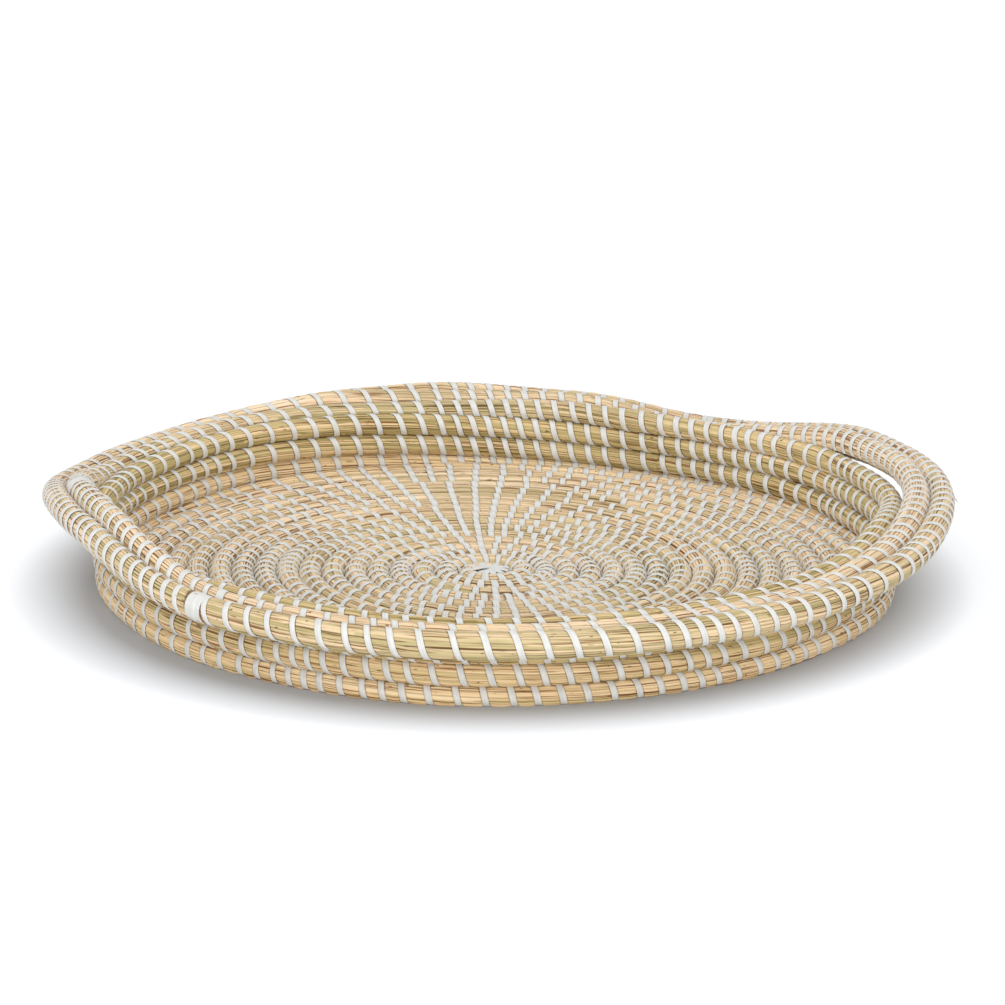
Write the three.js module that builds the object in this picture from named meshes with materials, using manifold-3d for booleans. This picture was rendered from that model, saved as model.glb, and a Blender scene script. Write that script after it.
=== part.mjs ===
// Coiled seagrass tray: one grass bundle wound into a flat base, a low wall and a flat rim that leaves
// the wall twice to make two hand-holds. White plastic strip starts the coil and lashes one handle.
// Millimetres, +Z up, the handles on the X axis, the tray standing on z = 0.
import * as THREE from "three";
import Module from "manifold-3d";

const wasm = await Module();
wasm.setup();

// Driving dimensions: the base
const baseRadius = 193.5;
const startRadius = 7.35;
const baseBundle = 10.4;
const baseRowGap = 0.5;
const restCut = 0.1;

// Driving dimensions: the wall
const wallRows = 3;
const wallPitch = 11.2;
const wallBundle = 10.6;
const wallFlare = 3;

// How much lower and slimmer the wall's rows are at the back than at the front, and over which degrees
const wallSlim = 0.125;
const slimBack = { azimuth: 78, reach: 112, flat: 40 };

// Driving dimensions: the rim, two rows side by side
const rimBundle = 11.9;
const rimRows = 2;
const rowGap = 0.75;

// Driving dimensions: the two ends of the coil
const startTaper = 0.75;
const endTaper = 0.3;
const tailRows = 0.7;
const taperFrom = 0.3;

// The stretch of each turn in which the bundle steps from its row to the next, in degrees
const climbStart = 40;
const climbSpan = 82;

// Where the whole tray is out of round, by a part of its radius: flatter at the left of its front, fuller at
// the right
const outOfRound = [
  { azimuth: 195, reach: 49, flat: 14, part: -0.036 },
  { azimuth: 330, reach: 32, flat: 6, part: 0.016 },
];

// Where the rows leave that outline: how far the wall's top row and the rim's inner and outer rows swing out
// and up, as [bow, lift], and over how many degrees to each side they come back from the full swing.
// The first two are the hand-holds, the others the unevenness of the hand-made back.
const bends = [
  { azimuth: 2, reach: 42, flat: 8, wall: [9, -2.3], inner: [7, 5.3], outer: [6.6, 5.5] },
  { azimuth: 172, reach: 40, flat: 4, wall: [0, 0], inner: [-3, 18], outer: [-3.7, 12.5] },
  { azimuth: 32, reach: 24, flat: 2, wall: [-5.9, 1.9], inner: [-4.2, -5], outer: [-4, -6] },
  { azimuth: 64, reach: 28, flat: 8, wall: [-2.6, 1.6], inner: [-3.7, 2.3], outer: [-3.4, -0.5] },
  { azimuth: 82, reach: 26, flat: 4, wall: [0, 0], inner: [0, 0.3], outer: [0, 5.6] },
  { azimuth: 97, reach: 28, flat: 4, wall: [1.4, 1.4], inner: [0.2, 3.4], outer: [-0.1, 3.1] },
  { azimuth: 108, reach: 24, flat: 4, wall: [0, 0], inner: [0, 0], outer: [0, -1.4] },
  { azimuth: 130, reach: 28, flat: 6, wall: [0.3, 0.7], inner: [0.1, 0.6], outer: [0.3, -0.3] },
  { azimuth: 338, reach: 45, flat: 10, wall: [-4.1, 1.7], inner: [-2.9, 4.2], outer: [-3, 2] },
];

// The plastic strip
const stripWidth = 3.5;
const stripThickness = 0.5;
const stripClearance = 0.3;
const stripSpacing = 0.45;
const lashLoops = 4;
const lashings = [
  { name: "lashing_front", row: wallRows + 2, azimuth: 207 },
  { name: "lashing_back", row: wallRows + 1, azimuth: 160 },
];
const knotStrips = 3;
const knotLength = 15;

// How finely the bundle is faceted
const spliceGap = 0.3;
const innerRows = 3;
const stepsPerTurn = { inner: 12, base: 24, wall: 36, rim: 54 };
const baseSides = 6;
const wallSides = 8;
const loopSteps = 8;

// Sizes that follow from the driving dimensions. The base has as many rows as fit, spread evenly.
const baseRows = Math.floor((baseRadius - startRadius) / (baseBundle + baseRowGap));
const basePitch = (baseRadius - startRadius) / baseRows;
const baseHeight = baseBundle * (0.5 - restCut);
const wallTopRadius = baseRadius + wallFlare;
const rimInnerRadius = wallTopRadius + (wallBundle + rimBundle) / 2 + rowGap;
const rimPitch = rimBundle + rowGap;
const lastRow = wallRows + rimRows;
const lashPitch = stripWidth + stripSpacing;
const lashLength = lashLoops * lashPitch;
const lashInner = rimBundle / 2 - stripThickness - stripClearance;
const neckRadius = lashInner - stripClearance;

const grass = (colour) => new THREE.MeshStandardMaterial({ color: colour, roughness: 0.8, metalness: 0 });
const strip = new THREE.MeshStandardMaterial({ color: 0xe4e3dc, roughness: 0.4, metalness: 0 });

const clamp = (x) => Math.min(Math.max(x, 0), 1);

const smooth = (x) => clamp(x) ** 2 * (3 - 2 * clamp(x));

const wrap = (degrees) => ((degrees % 360) + 360) % 360;

const apart = (a, b) => Math.abs(wrap(a - b + 180) - 180);

// The row that the bundle is in after some turns, counted from the outermost base row.
// It spirals evenly at the centre of the base, and further out steps over in the climb.
const rowAt = (turn) => {
  const whole = Math.floor(turn);
  const part = turn - whole;
  const stepped = Math.min(turn / baseRows, 1);
  return whole + (1 - stepped) * part + stepped * smooth((part * 360) / climbSpan) - baseRows;
};

// The radius of the coil's end, which tapers away along the outside of the rim
const tailRadius = (row) => {
  const taper = smooth((row - lastRow - taperFrom) / (tailRows - taperFrom));
  return (rimBundle / 2) * (1 - (1 - endTaper) * taper);
};

// How far a bundle that rolls a quarter turn over its neighbour stands off the straight way, in pitches
const rollOver = (part) => Math.sqrt(1 - part * part) - (1 - part);

// The part of a turn in which the bundle climbs a part of a row, found by halving
const climbFor = (rows) => {
  let low = 0;
  let high = climbSpan / 360;
  for (let k = 0; k < 30; k += 1) {
    const middle = (low + high) / 2;
    if (smooth((middle * 360) / climbSpan) < rows) low = middle;
    else high = middle;
  }
  return low;
};

const azimuthAt = (turn) => climbStart + turn * 360;

// How much of a bend there is at an azimuth
const share = (bend, azimuth) => smooth((bend.reach - apart(azimuth, bend.azimuth)) / (bend.reach - bend.flat));

// How far the bends move a row of the bundle out and up at an azimuth
const swing = (row, azimuth) => {
  const inner = clamp(row - wallRows);
  const outer = clamp(row - wallRows - 1);
  const wall = clamp(row / wallRows) - inner;
  const moved = (bend, way) =>
    bend.wall[way] * wall + bend.inner[way] * (inner - outer) + bend.outer[way] * outer;
  const total = { bow: 0, lift: 0 };
  bends.forEach((bend) => {
    total.bow += share(bend, azimuth) * moved(bend, 0);
    total.lift += share(bend, azimuth) * moved(bend, 1);
  });
  return total;
};

// The part of its full thickness that the wall has at an azimuth
const slimAt = (azimuth) => 1 - wallSlim * share(slimBack, azimuth);

const wallPlace = (row, pitch) => ({
  radius: baseRadius + (wallFlare * row) / wallRows + pitch * rollOver(Math.min(row, 1)),
  height: baseHeight + pitch * row,
});

// The cross-section of the tray: radius and height of the bundle's centre, by row. The rim's first row rolls
// out round the wall row below it, and its second lies beside the first.
const profile = (row, azimuth) => {
  if (row <= 0) return { radius: baseRadius + row * basePitch, height: baseHeight };
  const pitch = wallPitch * slimAt(azimuth);
  if (row <= wallRows) return wallPlace(row, pitch);
  const rimStep = rimInnerRadius - wallTopRadius;
  if (row <= wallRows + 1) {
    const part = row - wallRows;
    const below = wallPlace(row - 1, pitch);
    const step = pitch + (rimStep - pitch) * part;
    const rolled = (Math.PI / 2) * (1 - (1 - part) ** 3);
    return { radius: wallTopRadius + step * Math.sin(rolled), height: below.height + step * Math.cos(rolled) };
  }
  const beside = profile(row - 1, azimuth);
  const step = rimStep + (rimPitch - rimStep) * Math.min(row - wallRows - 1, 1);
  const drawnIn = rimBundle / 2 - tailRadius(row);
  return { radius: beside.radius + step - drawnIn, height: beside.height };
};

// The part of its full radius that the tray has at an azimuth
const roundAt = (azimuth) => outOfRound.reduce((sum, spot) => sum + spot.part * share(spot, azimuth), 1);

// The centre of the bundle after some turns
const centreAt = (turn) => {
  const row = rowAt(turn);
  const azimuth = azimuthAt(turn);
  const place = profile(row, azimuth);
  const moved = swing(row, azimuth);
  const radius = place.radius * roundAt(azimuth) + moved.bow;
  const height = place.height + moved.lift;
  const angle = THREE.MathUtils.degToRad(azimuth);
  return new THREE.Vector3(radius * Math.cos(angle), radius * Math.sin(angle), height);
};

// The turn at which the bundle passes an azimuth in a given row, past its climb
const turnAt = (row, azimuth) => row + baseRows - 1 + wrap(azimuth - climbStart) / 360;

const outwardAt = (turn) => {
  const angle = THREE.MathUtils.degToRad(azimuthAt(turn));
  return new THREE.Vector3(Math.cos(angle), Math.sin(angle), 0);
};

const turnsFor = (length, turn) => length / (2 * Math.PI * Math.hypot(centreAt(turn).x, centreAt(turn).y));

// A closed body from rings of points, each ring the same size, with a flat cap at each end
function skin(rings) {
  const sides = rings[0].length;
  const positions = rings.flat().flatMap((p) => [p.x, p.y, p.z]);
  const index = [];
  rings.slice(1).forEach((_, i) => {
    for (let k = 0; k < sides; k += 1) {
      const a = i * sides + k;
      const b = i * sides + ((k + 1) % sides);
      index.push(a, b, a + sides, b, b + sides, a + sides);
    }
  });
  const last = (rings.length - 1) * sides;
  for (let k = 1; k < sides - 1; k += 1) {
    index.push(0, k + 1, k);
    index.push(last, last + k, last + k + 1);
  }
  const geometry = new THREE.BufferGeometry();
  geometry.setAttribute("position", new THREE.Float32BufferAttribute(positions, 3));
  geometry.setIndex(index);
  geometry.computeVertexNormals();
  return geometry;
}

// One ring of the bundle: a regular section in the upright plane through the tray's axis
function bundleRing(turn, radius, sides) {
  const centre = centreAt(turn);
  const outward = outwardAt(turn);
  return Array.from({ length: sides }, (_, k) => {
    const angle = (2 * Math.PI * k) / sides;
    const point = centre.clone().addScaledVector(outward, -radius * Math.cos(angle));
    point.z = Math.max(point.z + radius * Math.sin(angle), 0);
    return point;
  });
}

// A length of bundle between two turns, its radius given along the way
function bundle(turns, radiusAt, sides) {
  return skin(turns.map((turn) => bundleRing(turn, radiusAt(turn), sides)));
}

// Evenly stepped turns from one end to the other, with both ends on the list
function stepped(from, to, perTurn) {
  const inner = [];
  for (let k = Math.ceil(from * perTurn + 0.5); k < to * perTurn - 0.5; k += 1) inner.push(k / perTurn);
  return [from, ...inner, to];
}

function mesh(name, geometry, material) {
  const made = new THREE.Mesh(geometry, material);
  made.name = name;
  return made;
}

// The lengths of bundle, end to end along the coil
const innerEnd = innerRows;
const baseEnd = baseRows;
const lowerEnd = baseEnd + 1;
const upperEnd = baseEnd + wallRows;
const rimEnd = upperEnd + rimRows + climbFor(tailRows);

const spliced = (turn) => turn + turnsFor(spliceGap, turn);

const baseTurns = [
  ...stepped(0, innerEnd, stepsPerTurn.inner),
  ...stepped(innerEnd, baseEnd, stepsPerTurn.base).slice(1),
];
const lowerTurns = stepped(spliced(baseEnd), lowerEnd, stepsPerTurn.wall);
const upperTurns = stepped(spliced(lowerEnd), upperEnd, stepsPerTurn.wall);

// The rim has more rings where a lashing draws it in
const lashTurn = (lash) => turnAt(lash.row, lash.azimuth);
const neckRings = (lash) => {
  const middle = lashTurn(lash);
  const half = turnsFor(lashLength / 2 + stripWidth / 2, middle);
  const slope = turnsFor(stripWidth, middle);
  return [middle - half - slope, middle - half, middle, middle + half, middle + half + slope];
};
const necks = lashings.map(neckRings);
const clearOfNecks = (turn) => necks.every((n) => turn < n[0] || turn > n[4]);
const rimTurns = [
  ...stepped(spliced(upperEnd), rimEnd, stepsPerTurn.rim).filter(clearOfNecks),
  ...necks.flat(),
].sort((a, b) => a - b);

// The base's radius: slimmer where the coil starts
const baseRadiusAt = (turn) => (baseBundle / 2) * (startTaper + (1 - startTaper) * smooth(turn));

// The radius of a bundle that swells from one thickness to another as it climbs into its first row
const swelling = (from, to, climb) => (from + (to - from) * Math.min(climb, 1) ** 2) / 2;

const wallBundleAt = (turn) => wallBundle * slimAt(azimuthAt(turn));

const wallRadiusAt = (turn) => swelling(baseBundle, wallBundleAt(turn), rowAt(turn));

// The rim's radius: swelling as it leaves the wall, drawn in under a lashing, tapered where the coil ends
const rimRadiusAt = (turn) => {
  if (necks.some((n) => turn >= n[1] && turn <= n[3])) return neckRadius;
  const row = rowAt(turn);
  return row > lastRow ? tailRadius(row) : swelling(wallBundleAt(turn), rimBundle, row - wallRows);
};

// A lashing: flat strip wound in close loops round the drawn-in bundle
function lashing(lash) {
  const steps = lashLoops * loopSteps;
  const middle = lashTurn(lash);
  const spanTurns = turnsFor(lashLength, middle);
  const halfWidth = turnsFor(stripWidth / 2, middle);
  const corner = (turn, angle, radius) => {
    const outward = outwardAt(turn);
    const point = centreAt(turn).addScaledVector(outward, -radius * Math.cos(angle));
    point.z += radius * Math.sin(angle);
    return point;
  };
  const rings = Array.from({ length: steps + 1 }, (_, i) => {
    const angle = (2 * Math.PI * i) / loopSteps;
    const turn = middle + (i / steps - 0.5) * spanTurns;
    const outer = lashInner + stripThickness;
    return [
      corner(turn - halfWidth, angle, lashInner),
      corner(turn + halfWidth, angle, lashInner),
      corner(turn + halfWidth, angle, outer),
      corner(turn - halfWidth, angle, outer),
    ];
  });
  return skin(rings);
}

// A closed geometry as a solid that can be joined
function solidOf(geometry) {
  const position = geometry.getAttribute("position");
  const solid = new wasm.Mesh({
    numProp: 3,
    vertProperties: new Float32Array(position.array),
    triVerts: new Uint32Array(geometry.index.array),
  });
  return new wasm.Manifold(solid);
}

function geometryOf(solid) {
  const joined = solid.getMesh();
  const geometry = new THREE.BufferGeometry();
  geometry.setAttribute("position", new THREE.BufferAttribute(new Float32Array(joined.vertProperties), 3));
  geometry.setIndex(new THREE.BufferAttribute(new Uint32Array(joined.triVerts), 1));
  geometry.computeVertexNormals();
  return geometry;
}

// The start of the strip: flat lengths crossed over the first row, joined where they cross
function centreKnot() {
  const bottom = baseHeight + baseRadiusAt(0) * Math.sin(Math.PI / 3) + stripClearance;
  const arm = (turned) => {
    const x = knotLength / 2;
    const y = stripWidth / 2;
    const ring = (side) =>
      [
        [-y, bottom],
        [y, bottom],
        [y, bottom + stripThickness],
        [-y, bottom + stripThickness],
      ].map(([across, up]) => new THREE.Vector3(side * x, across, up));
    const geometry = skin([ring(-1), ring(1)]);
    geometry.rotateZ(turned);
    return solidOf(geometry);
  };
  const arms = Array.from({ length: knotStrips }, (_, k) => arm((Math.PI * k) / knotStrips));
  return geometryOf(arms.reduce((whole, next) => whole.add(next)));
}

// The least gap between the turns of the coil, measured on points along its centre line
function leastGap() {
  const perTurn = 360;
  const radiusAt = (turn) => {
    if (turn < baseEnd) return baseRadiusAt(turn);
    return turn < upperEnd ? wallRadiusAt(turn) : rimRadiusAt(turn);
  };
  let least = Infinity;
  for (let k = 0; k < (rimEnd - 1) * perTurn; k += 1) {
    const here = k / perTurn;
    const point = centreAt(here);
    for (let j = k + perTurn - 20; j <= Math.min(k + perTurn + 20, rimEnd * perTurn); j += 1) {
      const there = j / perTurn;
      const gap = point.distanceTo(centreAt(there)) - radiusAt(here) - radiusAt(there);
      least = Math.min(least, gap);
    }
  }
  return least;
}
console.log("least gap of the coil to itself, mm:", leastGap().toFixed(2));

const tray = new THREE.Group();
tray.add(
  mesh("base_coil", bundle(baseTurns, baseRadiusAt, baseSides), grass(0xd6b888)),
  mesh("wall_lower_coil", bundle(lowerTurns, wallRadiusAt, wallSides), grass(0xe8c496)),
  mesh("wall_upper_coil", bundle(upperTurns, wallRadiusAt, wallSides), grass(0xa89864)),
  mesh("rim_coil", bundle(rimTurns, rimRadiusAt, wallSides), grass(0xdebe8c)),
  mesh("centre_knot", centreKnot(), strip),
  ...lashings.map((lash) => mesh(lash.name, lashing(lash), strip)),
);

// The origin stands under the middle of the tray's outline
const outline = new THREE.Box3().setFromObject(tray).getCenter(new THREE.Vector3());
tray.position.set(-outline.x, -outline.y, 0);
console.log("base centre from the origin, mm:", (-outline.x).toFixed(3), (-outline.y).toFixed(3));

export default tray;
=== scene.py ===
"""Looks of the coiled seagrass tray: bundles of grass blades, wound row by row and sewn with white strip.

Lengths are millimetres until a mesh is made, which is in metres, as the studio is. Angles round a bundle
start at its inner side and go over the top. A turn is one way round the tray, counted along the coil from
the centre of the base.
"""

import math

import bpy
import numpy as np
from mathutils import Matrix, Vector


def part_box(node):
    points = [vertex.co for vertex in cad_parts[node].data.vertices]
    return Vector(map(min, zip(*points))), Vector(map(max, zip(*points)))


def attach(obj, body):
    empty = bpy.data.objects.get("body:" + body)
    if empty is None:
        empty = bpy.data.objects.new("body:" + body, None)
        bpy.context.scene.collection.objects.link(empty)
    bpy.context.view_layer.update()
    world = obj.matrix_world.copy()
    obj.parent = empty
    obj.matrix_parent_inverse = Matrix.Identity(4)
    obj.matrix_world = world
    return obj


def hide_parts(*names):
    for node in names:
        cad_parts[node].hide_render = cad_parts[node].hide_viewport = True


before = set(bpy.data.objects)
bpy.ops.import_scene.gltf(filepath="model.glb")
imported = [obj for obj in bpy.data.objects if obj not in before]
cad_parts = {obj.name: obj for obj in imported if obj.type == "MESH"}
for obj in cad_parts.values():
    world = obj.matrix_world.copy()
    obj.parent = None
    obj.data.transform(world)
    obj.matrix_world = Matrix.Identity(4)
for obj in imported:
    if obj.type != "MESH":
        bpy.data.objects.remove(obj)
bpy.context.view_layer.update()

MM = 0.001
TAU = 2 * math.pi
SEED = 11

# The coil, as in the solids
BASE_CENTRE = np.array([-7.996, -1.841, 0.0])
BASE_RADIUS, START_RADIUS, BASE_ROWS, BASE_BUNDLE = 193.5, 7.35, 17, 10.4
BASE_PITCH = (BASE_RADIUS - START_RADIUS) / BASE_ROWS
BASE_HEIGHT = 0.4 * BASE_BUNDLE
WALL_ROWS, WALL_PITCH, WALL_BUNDLE, WALL_FLARE = 3, 11.2, 10.6, 3.0
WALL_SLIM, SLIM_BACK = 0.125, (78, 112, 40)
RIM_BUNDLE, RIM_ROWS, ROW_GAP = 11.9, 2, 0.75
START_TAPER, END_TAPER, TAIL_ROWS, TAPER_FROM = 0.75, 0.3, 0.7, 0.3
CLIMB_START, CLIMB_SPAN = 40.0, 82.0
WALL_TOP_RADIUS = BASE_RADIUS + WALL_FLARE
RIM_STEP = (WALL_BUNDLE + RIM_BUNDLE) / 2 + ROW_GAP
RIM_PITCH = RIM_BUNDLE + ROW_GAP
LAST_ROW = WALL_ROWS + RIM_ROWS
LOWER_END, UPPER_END = BASE_ROWS + 1, BASE_ROWS + WALL_ROWS
COIL_START, RIM_END = -0.55, UPPER_END + RIM_ROWS + 0.145
PATH_MARGIN, PATH_POINTS, FILL_POINTS = 0.02, 30001, 9001

# Where the whole tray is out of round: azimuth, reach and flat in degrees, and the part of its radius
OUT_OF_ROUND = ((195, 49, 14, -0.036), (330, 32, 6, 0.016))

# Where the rows leave that outline: azimuth, reach and flat, then how far the wall's top row and the rim's
# inner and outer rows swing out and up
BENDS = (
    (2, 42, 8, (9, -2.3), (7, 5.3), (6.6, 5.5)),
    (172, 40, 4, (0, 0), (-3, 18), (-3.7, 12.5)),
    (32, 24, 2, (-5.9, 1.9), (-4.2, -5), (-4, -6)),
    (64, 28, 8, (-2.6, 1.6), (-3.7, 2.3), (-3.4, -0.5)),
    (82, 26, 4, (0, 0), (0, 0.3), (0, 5.6)),
    (97, 28, 4, (1.4, 1.4), (0.2, 3.4), (-0.1, 3.1)),
    (108, 24, 4, (0, 0), (0, 0), (0, -1.4)),
    (130, 28, 6, (0.3, 0.7), (0.1, 0.6), (0.3, -0.3)),
    (338, 45, 10, (-4.1, 1.7), (-2.9, 4.2), (-3, 2)),
)

# The bundle as soft grass: how it fills out to meet the next row, up to the gap of a hand-hold, is fuller
# along the front of the rim, and is drawn in under a stitch
LEAST_FILL, WIDEST_FILLED, HOLD_GAP, HOLD_FADE = 0.2, 4, 3.6, 1.5
FRONT_SWELL, SWELL_FRONT = 0.45, (248, 95, 30)
PINCH, PINCH_REACH = 0.5, 2.6
# How far round the bundle from a seam the painted shade of the seam reaches, in radians
SEAM_SHADE_REACH = 0.27
GRAIN_RADIUS = 6.0
FLOOR_CLEARANCE = 0.05

# The strip: its section is across and up, as parts of its width and thickness. Its end is two faces, tucked
# in over a share of the way round, and another share is hidden in the seam where rows are sewn.
STRIP_WIDTH, STRIP_THICKNESS, STRIP_SEAT = 3.2, 0.45, 0.26
STRIP_SECTION = ((-0.5, 0.0), (-0.5, 0.62), (-0.4, 1.0), (0.4, 1.0), (0.5, 0.62), (0.5, 0.0))
STRIP_ENDS = np.array([[0, 5, 4, 1], [1, 4, 3, 2]])
STRIP_WIDTH_SPREAD = 0.04
TUCK_DEPTH, TUCK_SHARE, SEWN_SHARE = 0.5, 0.03, 0.028

rng = np.random.default_rng(SEED)


def smooth(x):
    x = np.clip(x, 0, 1)
    return x * x * (3 - 2 * x)


def between(x, pairs):
    """The value at x on the straight lines between pairs of x and value."""
    return np.interp(x, *zip(*pairs))


# The path of the coil
def row_at(turn):
    """The row, counted from the outermost base row, that the bundle is in after some turns."""
    whole = np.floor(turn)
    part = turn - whole
    stepped = np.minimum(turn / BASE_ROWS, 1)
    return whole + (1 - stepped) * part + stepped * smooth(part * 360 / CLIMB_SPAN) - BASE_ROWS


def azimuth_at(turn):
    return CLIMB_START + turn * 360


def tail_radius(row):
    taper = smooth((row - LAST_ROW - TAPER_FROM) / (TAIL_ROWS - TAPER_FROM))
    return RIM_BUNDLE / 2 * (1 - (1 - END_TAPER) * taper)


def roll_over(part):
    """How far off the straight way, in pitches, a bundle rolls in a quarter turn over its neighbour."""
    part = np.clip(part, 0, 1)
    return np.sqrt(1 - part * part) - (1 - part)


def share(azimuth, middle, reach, flat):
    """How much of a bend there is at an azimuth."""
    apart = np.abs((azimuth - middle + 180) % 360 - 180)
    return smooth((reach - apart) / (reach - flat))


def slim_at(azimuth):
    """The part of its full thickness that the wall has at an azimuth."""
    return 1 - WALL_SLIM * share(azimuth, *SLIM_BACK)


def swing(row, azimuth):
    """How far the bends move a row out and up."""
    inner = np.clip(row - WALL_ROWS, 0, 1)
    outer = np.clip(row - WALL_ROWS - 1, 0, 1)
    weights = (np.clip(row / WALL_ROWS, 0, 1) - inner, inner - outer, outer)
    bow, lift = np.zeros_like(row), np.zeros_like(row)
    for middle, reach, flat, *moves in BENDS:
        full = share(azimuth, middle, reach, flat)
        for weight, (out, up) in zip(weights, moves):
            bow += full * weight * out
            lift += full * weight * up
    return bow, lift


def profile(row, azimuth):
    """Radius and height of the bundle's centre, by row. The rim rolls out round the wall's top row."""
    pitch = WALL_PITCH * slim_at(azimuth)
    up = np.clip(row, 0, WALL_ROWS)
    out = row - WALL_ROWS
    beside = np.maximum(np.ceil(out) - 1, 0)
    part = np.clip(out - beside, 0, 1)
    step = pitch + (RIM_STEP - pitch) * part
    rolled = (1 - (1 - part) ** 3) * math.pi / 2
    reach = WALL_TOP_RADIUS + step * np.sin(rolled)
    reach += np.where(beside > 0, RIM_STEP + (RIM_PITCH - RIM_STEP) * part, 0)
    reach += np.where(beside > 1, RIM_PITCH, 0) - (RIM_BUNDLE / 2 - tail_radius(row))
    radius = np.select(
        [row <= 0, row <= WALL_ROWS],
        [BASE_RADIUS + row * BASE_PITCH, BASE_RADIUS + WALL_FLARE * up / WALL_ROWS + pitch * roll_over(up)],
        reach,
    )
    height = np.select(
        [row <= 0, row <= WALL_ROWS],
        [BASE_HEIGHT, BASE_HEIGHT + pitch * up],
        BASE_HEIGHT + pitch * (WALL_ROWS - 1 + part) + step * np.cos(rolled),
    )
    return radius, height


def outward_at(turn):
    angle = np.radians(azimuth_at(turn))
    return np.stack([np.cos(angle), np.sin(angle), np.zeros_like(angle)], axis=-1)


def round_at(azimuth):
    """The part of its full radius that the tray has at an azimuth."""
    return 1 + sum(part * share(azimuth, *spot) for *spot, part in OUT_OF_ROUND)


def centre_at(turn):
    """The centre of the bundle after some turns."""
    row = row_at(turn)
    azimuth = azimuth_at(turn)
    radius, height = profile(row, azimuth)
    bow, lift = swing(row, azimuth)
    centre = outward_at(turn) * (radius * round_at(azimuth) + bow)[..., None] + BASE_CENTRE
    centre[..., 2] += height + lift
    return centre


# Length along the coil, and back to turns
PATH_TURNS = np.linspace(COIL_START - PATH_MARGIN, RIM_END + PATH_MARGIN, PATH_POINTS)
PATH_LENGTHS = np.concatenate(
    [[0], np.cumsum(np.linalg.norm(np.diff(centre_at(PATH_TURNS), axis=0), axis=1))]
)


def length_of(turn):
    return np.interp(turn, PATH_TURNS, PATH_LENGTHS)


def turn_of(length):
    return np.interp(length, PATH_LENGTHS, PATH_TURNS)


# The bundle's thickness and its surface
def solid_radius(turn):
    """The radius of the bundle as a smooth solid."""
    row = row_at(turn)
    slim = WALL_BUNDLE * slim_at(azimuth_at(turn))
    base = BASE_BUNDLE / 2 * (START_TAPER + (1 - START_TAPER) * smooth(turn))
    wall = (BASE_BUNDLE + (slim - BASE_BUNDLE) * np.clip(row, 0, 1) ** 2) / 2
    rim = (slim + (RIM_BUNDLE - slim) * np.clip(row - WALL_ROWS, 0, 1) ** 2) / 2
    rim = np.where(row > LAST_ROW, tail_radius(row), rim)
    return np.select([turn < BASE_ROWS, turn < UPPER_END], [base, wall], rim)


def seam_gap(turn):
    """How far the bundle stands off the row before it."""
    turn = np.maximum(turn, 1.0)
    apart = np.linalg.norm(centre_at(turn - 1) - centre_at(turn), axis=-1)
    return apart - solid_radius(turn) - solid_radius(turn - 1)


def sewn_at(gap):
    """One where a gap is a seam, and none where it is a hand-hold."""
    return smooth((HOLD_GAP - gap) / HOLD_FADE)


def fill_for(gap):
    """How far the grass fills out into a gap, and not across a hand-hold."""
    return LEAST_FILL + 0.5 * np.clip(gap, 0, WIDEST_FILLED) * sewn_at(gap)


FILL_TURNS = np.linspace(COIL_START, RIM_END, FILL_POINTS)
FILLS = np.maximum(
    fill_for(seam_gap(FILL_TURNS)),
    np.where(FILL_TURNS + 1 < RIM_END, fill_for(seam_gap(FILL_TURNS + 1)), LEAST_FILL),
)
FILLS += (
    FRONT_SWELL * share(azimuth_at(FILL_TURNS), *SWELL_FRONT) * smooth(row_at(FILL_TURNS) - WALL_ROWS - 1)
)


def bundle_radius(turn):
    """The radius of the bundle, filled out to meet its neighbours."""
    return solid_radius(turn) + np.interp(turn, FILL_TURNS, FILLS)


def seam_angle(turn):
    """The angle round the bundle at which it lies against the row before it."""
    turn = np.maximum(turn, 1.0)
    back = centre_at(turn - 1) - centre_at(turn)
    inward = -np.sum(back * outward_at(turn), axis=-1)
    return np.arctan2(back[..., 2], inward)


def on_bundle(turn, angle, radius):
    """Points at an angle round the bundle and a distance from its centre, kept above the floor."""
    points = centre_at(turn)
    points = points - outward_at(turn) * (radius * np.cos(angle))[..., None]
    points[..., 2] = np.maximum(points[..., 2] + radius * np.sin(angle), FLOOR_CLEARANCE)
    return points


# Stitches along the coil. Each is sewn in beside a stitch of the row before, with more where they spread
# apart, and evenly where the rim stands free. Their lean and spacing go by row.
LEANS = ((-BASE_ROWS, 3.5), (-1, 5.5), (1, 9.5), (3, 9.5), (4, 12.0))
SPACINGS = ((-BASE_ROWS, 6.6), (-12, 8.4), (0, 11.3), (3, 11.2), (5, 12.0))
TIGHTER, TIGHT_RIGHT = 0.17, (8, 60, 22)
FIRST_STITCH, END_CLEARANCE = 0.03, 0.012
BASE_DRIFT, WALL_DRIFT, STITCH_SPREAD = -0.7, 0.4, 0.45
CLOSEST_SHARE, EXTRA_SHARE = 0.55, 0.45
EVENING_PASSES, EVENING_SHARE = 3, 0.22
HOLD_TURNS = ((20.31, 20.468), (20.81, 20.99), (21.31, 21.468), (21.81, 21.99))
HOLD_SPACING = 8.6


def lean_at(turn):
    """How far a stitch moves on along the coil in one way round the bundle."""
    return between(row_at(turn), LEANS)


def stitch_spacing(turn):
    row = row_at(turn)
    return between(row, SPACINGS) * (1 - TIGHTER * share(azimuth_at(turn), *TIGHT_RIGHT) * smooth(row + 1))


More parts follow.
